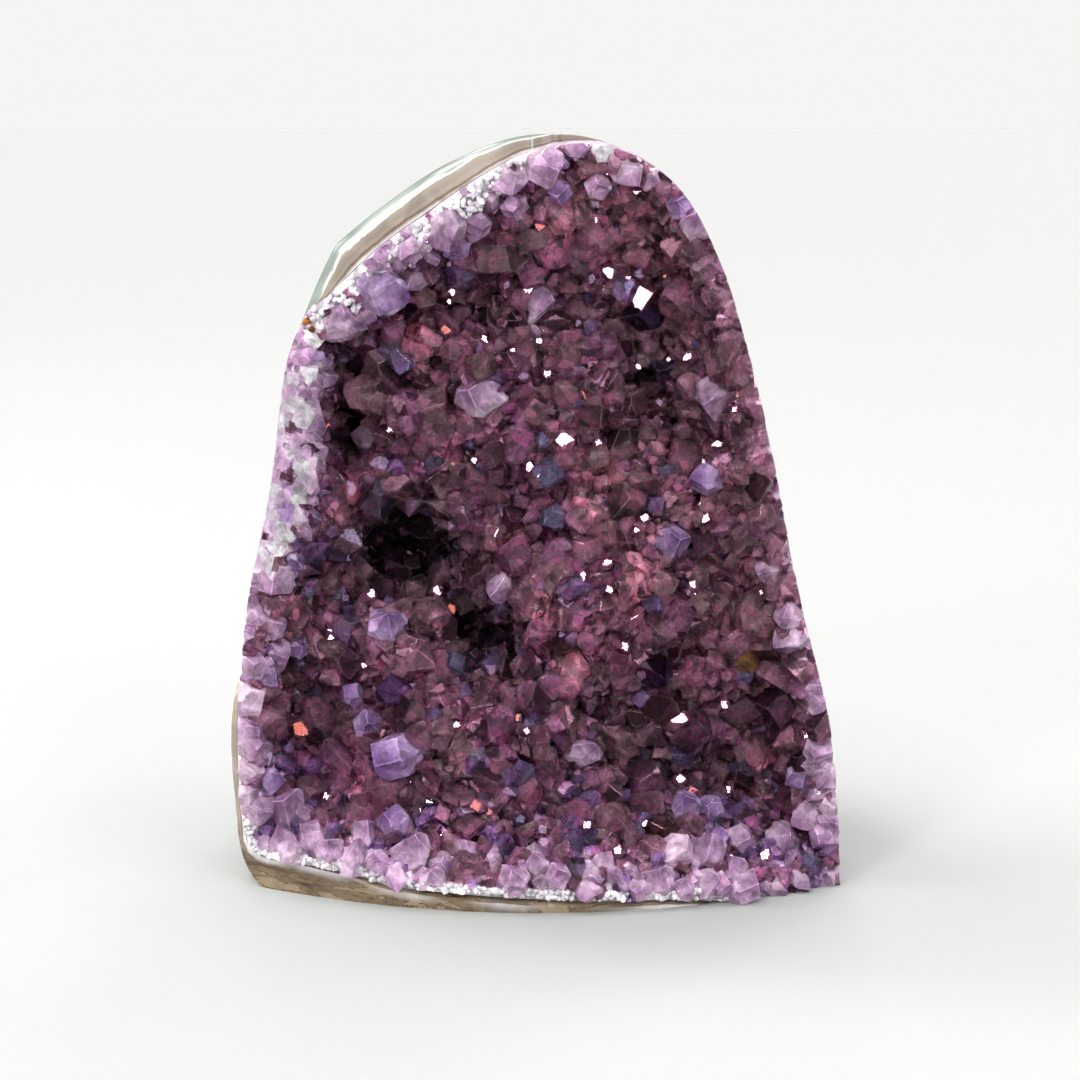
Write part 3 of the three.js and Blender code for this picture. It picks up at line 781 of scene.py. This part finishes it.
quartz = {
    "clearQuartz": {
        "clear": 0.85, "rough": 0.02, "cell": 0.0021, "skew": 1, "darkest": 0.65, "palest": 1.5,
        "absorbs": 260, "patch": 0.0011, "uneven": 0.02},
    "cloudyQuartz": {
        "clear": 0.54, "rough": 0.03, "cell": 0.0011, "skew": 1, "darkest": 0.75, "palest": 1.3,
        "absorbs": 0, "patch": 0.0013, "uneven": 0.05},
    "sugarQuartz": {
        "clear": 0.1, "rough": 0.08, "cell": 0.0008, "skew": 1, "darkest": 0.8, "palest": 1.2,
        "absorbs": 0, "patch": 0.0007, "uneven": 0.1},
    "quartzBed": {
        "clear": 0, "rough": 0.25, "cell": 0.0014, "skew": 2.2, "darkest": 0.02, "palest": 2.7,
        "absorbs": 0, "patch": 0.0009, "uneven": 0.9},
    "absorbTone": "#cc7cae", "sheen": "#c892aa",
}


def makeQuartzMaterial(name, grain, patches):
    look = quartz[name]
    material, nodes, links, shader = newMaterial(name)
    tint = addNode(nodes, "ShaderNodeAttribute", attribute_name="tint")
    broken = addNode(nodes, "ShaderNodeGroup", node_tree=grain, inputs={
        "Cell Size": look["cell"], "Skew": look["skew"], "Darkest": look["darkest"],
        "Palest": look["palest"]})
    uneven = addNode(nodes, "ShaderNodeGroup", node_tree=patches, inputs={
        "Patch Size": look["patch"], "Unevenness": look["uneven"]})
    wire(links, [
        (tint, "Color", broken, "Tint"), (broken, "Color", shader, "Base Color"),
        (uneven, "Normal", shader, "Normal")])
    shader.inputs["Roughness"].default_value = look["rough"]
    shader.inputs["IOR"].default_value = quartzIor
    shader.inputs["Transmission Weight"].default_value = look["clear"]
    shader.inputs["Specular Tint"].default_value = (*tone(quartz["sheen"]), 1)
    if look["absorbs"]:
        absorb = addNode(nodes, "ShaderNodeVolumeAbsorption", {
            "Color": (*tone(quartz["absorbTone"]), 1), "Density": look["absorbs"]})
        links.new(absorb.outputs["Volume"], nodes["Material Output"].inputs["Volume"])
    if not look["clear"]:
        dense = addNode(nodes, "ShaderNodeAttribute", attribute_name="dense")
        for socket, denseShade in (("Darkest", 0.7), ("Palest", 1.25)):
            shade = addNode(nodes, "ShaderNodeMapRange", {
                "To Min": look[socket.lower()], "To Max": denseShade})
            links.new(dense.outputs["Fac"], shade.inputs["Value"])
            links.new(shade.outputs["Result"], broken.inputs[socket])
    return material


# colours of the bed; hollow is a painted shade for its deepest parts
bedTones = {
    "usual": tone("#906680"), "right": tone("#98747e"), "low": tone("#8a749e"), "rim": tone("#d0b8d2"),
    "sugar": tone("#ece6ec"), "hollow": tone("#0c0508"), "milk": tone("#e4c8c0"),
}


def mixTone(colours, other, share):
    return colours + (np.array(other)[None, :] - colours) * np.clip(share, 0, 1)[:, None]


def makeBed(grain, patches):
    bed = shapedBall("quartzBed", 240, 130, liningPlace(bedY, 0))
    cutAtBase(bed)
    x, y, z = meshPoints(bed).T
    angle, inside = polar(x, z)[0], insideEdge(x, z)
    colours = np.tile(np.array(bedTones["usual"]), (len(x), 1))
    colours = mixTone(colours, bedTones["right"], 0.8 * rightShare(x, z))
    colours = mixTone(colours, bedTones["low"], 0.6 * bell(z - 3, 12))
    colours = mixTone(colours, bedTones["milk"], smooth((lumps(x, z, 7, 12) - 0.45) / 0.4))
    # painted shade: the bed turns nearly black where it lies deep in a hollow
    colours = mixTone(colours, bedTones["hollow"], 0.95 * smooth((y - faceY(x, z) - 10) / 9))
    colours = mixTone(colours, bedTones["rim"], 0.9 * bell(inside, 4.5))
    colours = mixTone(colours, bedTones["sugar"], 0.9 * agateShows(angle) * bell(inside, 3.5))
    setTint(bed.data, colours, "POINT")
    dense = bed.data.attributes.new("dense", "FLOAT", "POINT")
    dense.data.foreach_set("value", bell(inside / lerp(3, 5.5, nearBand(angle)), 1))
    bed.data.materials.append(makeQuartzMaterial("quartzBed", grain, patches))
    bpy.ops.object.shade_smooth()
    return bed


def placeInFrame(piece, node):
    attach(piece, "root")
    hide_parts(node)


def makeDruse():
    grain, patches = makeGrainGroup(), makePatchGroup()
    placeInFrame(makeBed(grain, patches), "crystal_druse")
    kept = placeCrystals()
    rng = np.random.default_rng(crystals["seed"] + 1)
    shapes = [cutCrystal(rng, 0) for n in range(crystals["shapes"])]
    shapes += [cutCrystal(rng, crystals["worn"]) for n in range(crystals["shapes"])]
    outward = bedNormal(kept[:, 0], kept[:, 2])
    lean = rng.normal(size=(len(kept), 3)) * crystals["tilt"]
    lean[:len(crystals["large"])] *= crystals["largeTilt"]
    way = outward + lean
    turns = [np.array(Vector((0, 0, 1)).rotation_difference(Vector(w)).to_matrix() @ Matrix.Rotation(
        rng.uniform(0, 2 * math.pi), 3, "Z")) for w in way]
    first, last = len(crystals["large"]), len(crystals["large"]) + len(crystals["glints"])
    lamps = dict(zip(range(first, last), [lamp for x, z, radius, lamp in crystals["glints"]]))
    sparks = crystals["sparks"]
    plain = kept[last:, 5] != kinds.index("white")
    small = last + np.flatnonzero((kept[last:, 3] < sparks["upTo"]) & plain)
    for n in rng.choice(small, sparks["count"], replace=False):
        lamps[n] = choose(sparks["lamps"], rng)
    for n, lamp in lamps.items():
        turns[n] = np.array(glintTurn(kept[n, :3], outward[n], lamp))
    tips, roots = crystalTones(kept, rng)
    steady = np.isin(np.arange(len(kept)), [*range(first), *lamps])
    cloudy, sugary = isCloudy(kept), kept[:, 5] == kinds.index("white")
    for name, chosen in (
            ("clearQuartz", ~cloudy), ("cloudyQuartz", cloudy & ~sugary), ("sugarQuartz", sugary)):
        own = np.flatnonzero(chosen)
        grown = growCrystals(
            name, kept[own], [turns[n] for n in own], steady[own], tips[own], roots[own], shapes,
            name != "clearQuartz", rng)
        grown = combine(grown, makeEnvelope(kept, (tips + roots) / 2), "INTERSECT")
        grown.data.materials.clear()
        grown.data.materials.append(makeQuartzMaterial(name, grain, patches))
        grown.data.polygons.foreach_set("material_index", np.zeros(len(grown.data.polygons), int))
        print(name, len(grown.data.polygons), "faces", grown.data.attributes["tint"].domain)
        placeInFrame(grown, "crystal_druse")


# the flat front of the agate ends here and its ground shoulder begins
def rimRadius(angle):
    shoulder = stone["shoulder"]
    pulled = shoulder["rim"] * bell(turnFrom(angle, shoulder["angle"]), shoulder["spread"])
    return stoneRadius(angle) - pulled * agateShows(angle)


def rindPlace(share, angle):
    inner, lip, shoulderEnd = 0.28, 0.40, 0.47
    gap, shows = lining["gap"], agateShows(angle)
    lipDepth = (1 - shows) * (quartzDepth(angle) + gap)
    bowl = np.clip(share / inner, 0, 1)
    across = np.clip((share - inner) / (lip - inner), 0, 1)
    turn = np.clip((share - lip) / (shoulderEnd - lip), 0, 1)
    curve = np.clip((share - shoulderEnd) / (1 - shoulderEnd), 0, 1)
    mouth, rim, outer = liningRadius(angle) + gap, rimRadius(angle), stoneRadius(angle)
    startDepth = np.maximum(lipDepth, stone["shoulder"]["depth"])
    power = 2 / stone["roundness"]
    turnedIn, turnedBack = np.sin(turn * math.pi / 2), 1 - np.cos(turn * math.pi / 2)
    curvedIn, curvedBack = np.cos(curve * math.pi / 2) ** power, np.sin(curve * math.pi / 2) ** power
    radius = np.where(share < inner, bowl * mouth, lerp(mouth, rim, across))
    radius = np.where(share > lip, lerp(rim, outer, turnedIn), radius)
    radius = np.where(share > shoulderEnd, outer * curvedIn, radius)
    x, z = onRing(radius, angle)
    total = stone["backDepth"] - stone["backTaper"] * z
    depth = np.where(share > lip, lerp(lipDepth, startDepth, turnedBack), lipDepth)
    depth = np.where(share > shoulderEnd, lerp(startDepth, total, curvedBack), depth)
    y = faceY(x, z) + depth
    y = np.where(share < inner, bowlY(x, z) + quartzDepth(angle) * bowl ** 4 + gap, y)
    return np.stack([x, y, z], -1)


agate = {
    "layerDepth": 5, "drift": 1.3, "rings": 60, "ringShades": (0.86, 1.06), "rough": (0.15, 0.75),
    "bump": 0.25, "gritSize": 420, "skinTint": 0.6,
    # how far back the ground sides reach, and how the edge of the natural skin wanders
    "skinFrom": 30, "skinRise": 0.12, "skinWander": 7, "skinFade": 5,
    "skinLow": 0.5, "skinWaves": [(0.7, 9, 41), (0.35, 3.2, 42), (0.18, 1.4, 43)],
    # where in the layers each part lies
    "lipLayer": 4.3, "lipSpan": 2.45, "shoulderLayer": 1.85, "footLayer": 4.4, "footHeight": 10,
    # colours by depth, of the natural skin and of the sawn foot
    "layers": [
        (0.00, "#858f87"), (0.12, "#9ba39b"), (0.24, "#8b958d"), (0.33, "#a3aaa2"), (0.345, "#f6f4f0"),
        (0.385, "#f0ece6"), (0.40, "#b0a497"), (0.55, "#a1968b"), (0.68, "#ada094"), (0.74, "#7a6452"),
        (0.78, "#b8aca6"), (0.84, "#e8e2e4"), (1.0, "#e4dfe4")],
    "skin": [(0.30, "#6d6a58"), (0.45, "#7f8273"), (0.55, "#8f8877"), (0.68, "#5c5343")],
    "foot": [
        (0.30, "#46362a"), (0.40, "#6c5844"), (0.488, "#8a7762"), (0.497, "#3c3024"), (0.503, "#3c3024"),
        (0.512, "#9a876c"), (0.60, "#978878"), (0.68, "#cfc6ba")],
}


def makeAgateMaterial():
    material, nodes, links, shader = newMaterial("agate")
    place = addNode(nodes, "ShaderNodeTexCoord")
    layer = addNode(nodes, "ShaderNodeAttribute", attribute_name="layer")
    skin = addNode(nodes, "ShaderNodeAttribute", attribute_name="skin")
    drift = addNode(nodes, "ShaderNodeTexNoise", {"Scale": 130, "Detail": 5, "Roughness": 0.6})
    uneven = addNode(nodes, "ShaderNodeMath", {
        1: agate["drift"], 2: -agate["drift"] / 2}, operation="MULTIPLY_ADD")
    depth = addNode(nodes, "ShaderNodeMath", operation="ADD")
    spread = addNode(nodes, "ShaderNodeMath", {1: 1 / agate["layerDepth"]}, operation="MULTIPLY")
    bands = addNode(nodes, "ShaderNodeValToRGB")
    fillRamp(bands, agate["layers"])
    cloud = addNode(nodes, "ShaderNodeTexNoise", {"Scale": 45, "Detail": 4, "Distortion": 0.8})
    rings = addNode(nodes, "ShaderNodeMath", {1: agate["rings"]}, operation="MULTIPLY")
    ringWave = addNode(nodes, "ShaderNodeMath", operation="SINE")
    ringShade = addNode(nodes, "ShaderNodeMapRange", mapped((-1, 1), agate["ringShades"]))
    shaded = addNode(nodes, "ShaderNodeMix", {"Factor": 1.0}, data_type="RGBA", blend_type="MULTIPLY")
    patch = addNode(nodes, "ShaderNodeValToRGB")
    fillRamp(patch, agate["skin"])
    grit = addNode(nodes, "ShaderNodeTexNoise", {"Scale": agate["gritSize"], "Detail": 6, "Roughness": 0.7})
    skinColour = addNode(
        nodes, "ShaderNodeMix", {"Factor": agate["skinTint"]}, data_type="RGBA", blend_type="MULTIPLY")
    foot = addNode(nodes, "ShaderNodeAttribute", attribute_name="foot")
    flat = addNode(nodes, "ShaderNodeMapping", {"Scale": (1, 1, 4.5)})
    streaks = addNode(nodes, "ShaderNodeTexNoise", {
        "Scale": 70, "Detail": 7, "Roughness": 0.65, "Distortion": 0.6})
    footTone = addNode(nodes, "ShaderNodeValToRGB")
    fillRamp(footTone, agate["foot"])
    footed = addNode(nodes, "ShaderNodeMix", data_type="RGBA")
    colour = addNode(nodes, "ShaderNodeMix", data_type="RGBA")
    rough = addNode(nodes, "ShaderNodeMapRange", mapped((0, 1), agate["rough"]))
    bump = addNode(nodes, "ShaderNodeBump", {"Distance": agate["bump"] * mm})
    for noiseNode in (drift, cloud, grit):
        links.new(place.outputs["Object"], noiseNode.inputs["Vector"])
    wire(links, [
        (drift, "Fac", uneven, 0), (layer, "Fac", depth, 0), (uneven, "Value", depth, 1),
        (depth, "Value", spread, 0), (spread, "Value", bands, "Fac"), (cloud, "Fac", rings, 0),
        (rings, "Value", ringWave, 0), (ringWave, "Value", ringShade, "Value"),
        (place, "Object", flat, "Vector"), (flat, "Vector", streaks, "Vector"),
        (streaks, "Fac", footTone, "Fac"), (foot, "Fac", footed, "Factor"),
        (bands, "Color", footed, "A"), (footTone, "Color", footed, "B"),
        (footed, "Result", shaded, "A"), (ringShade, "Result", shaded, "B"),
        (cloud, "Fac", patch, "Fac"), (patch, "Color", skinColour, "A"),
        (grit, "Color", skinColour, "B"), (skin, "Fac", colour, "Factor"),
        (shaded, "Result", colour, "A"), (skinColour, "Result", colour, "B"),
        (colour, "Result", shader, "Base Color"), (skin, "Fac", rough, "Value"),
        (rough, "Result", shader, "Roughness"), (skin, "Fac", bump, "Strength"),
        (grit, "Fac", bump, "Height"), (bump, "Normal", shader, "Normal")])
    shader.inputs["IOR"].default_value = quartzIor
    return material


# how much of the natural skin is left: none on the ground sides, all of it on the back
def skinShare(x, y, z):
    behind = y - faceY(x, z)
    wander = agate["skinWander"] * lumps(x, z, 16, 21, y)
    return smooth((behind - agate["skinFrom"] + agate["skinRise"] * z - wander) / agate["skinFade"])


def paintAgate(rind):
    x, y, z = meshPoints(rind).T
    angle, radius = polar(x, z)
    behind = y - faceY(x, z) - (1 - agateShows(angle)) * (quartzDepth(angle) + lining["gap"])
    onLip = behind < 0.02
    past = radius - edgeRadius(angle)
    across = np.clip(past / np.maximum(rimRadius(angle) - edgeRadius(angle), 0.6), 0, 1)
    side = np.clip(0.8 + 0.55 * lumps(x, z, 14, 31, y), 0, 1.5)
    lip = agate["lipLayer"] - agate["lipSpan"] * across
    layer = np.where(onLip, lip, lerp(side, agate["shoulderLayer"], bell(behind, 0.2)))
    low = smooth((agate["footHeight"] - z) / 3) * smooth((stone["footDepth"] - behind) / 4)
    white = np.where(onLip, bell(past / (1 + 0.5 * lumps(x, z, 5, 33)), 1.1), 0)
    white = np.maximum(white, 0.75 * smooth((x - 6) / 16) * onLip)
    values = {
        "layer": lerp(layer, agate["footLayer"], low * white), "foot": low * (1 - white),
        "skin": skinShare(x, y, z)}
    for name, numbers in values.items():
        rind.data.attributes.new(name, "FLOAT", "POINT").data.foreach_set("value", numbers)


# the back keeps its natural uneven skin, which is a little lower than the ground sides
def roughenBack(rind):
    points = meshPoints(rind)
    x, y, z = points.T
    share = skinShare(x, y, z)
    worn = layeredLumps(x, z, agate["skinWaves"], y, agate["skinLow"])
    points -= readAll(rind.data.vertices, "normal") * (np.clip(worn, -0.2, 3) * share)[:, None]
    rind.data.vertices.foreach_set("co", (points * mm).ravel())
    rind.data.update()


def makeRind():
    rind = shapedBall("agateRind", 260, 190, rindPlace)
    roughenBack(rind)
    cutAtBase(rind)
    paintAgate(rind)
    bpy.context.view_layer.objects.active = rind
    bpy.ops.object.shade_smooth_by_angle(angle=math.radians(35))
    rind.data.materials.append(makeAgateMaterial())
    placeInFrame(rind, "agate_rind")


makeCamera()
makeLights()
makeRoom()
makeFloor()
print("camera, lamps, room and floor are ready")
makeRind()
print("agate rind is ready")
makeDruse()
print("quartz is ready")
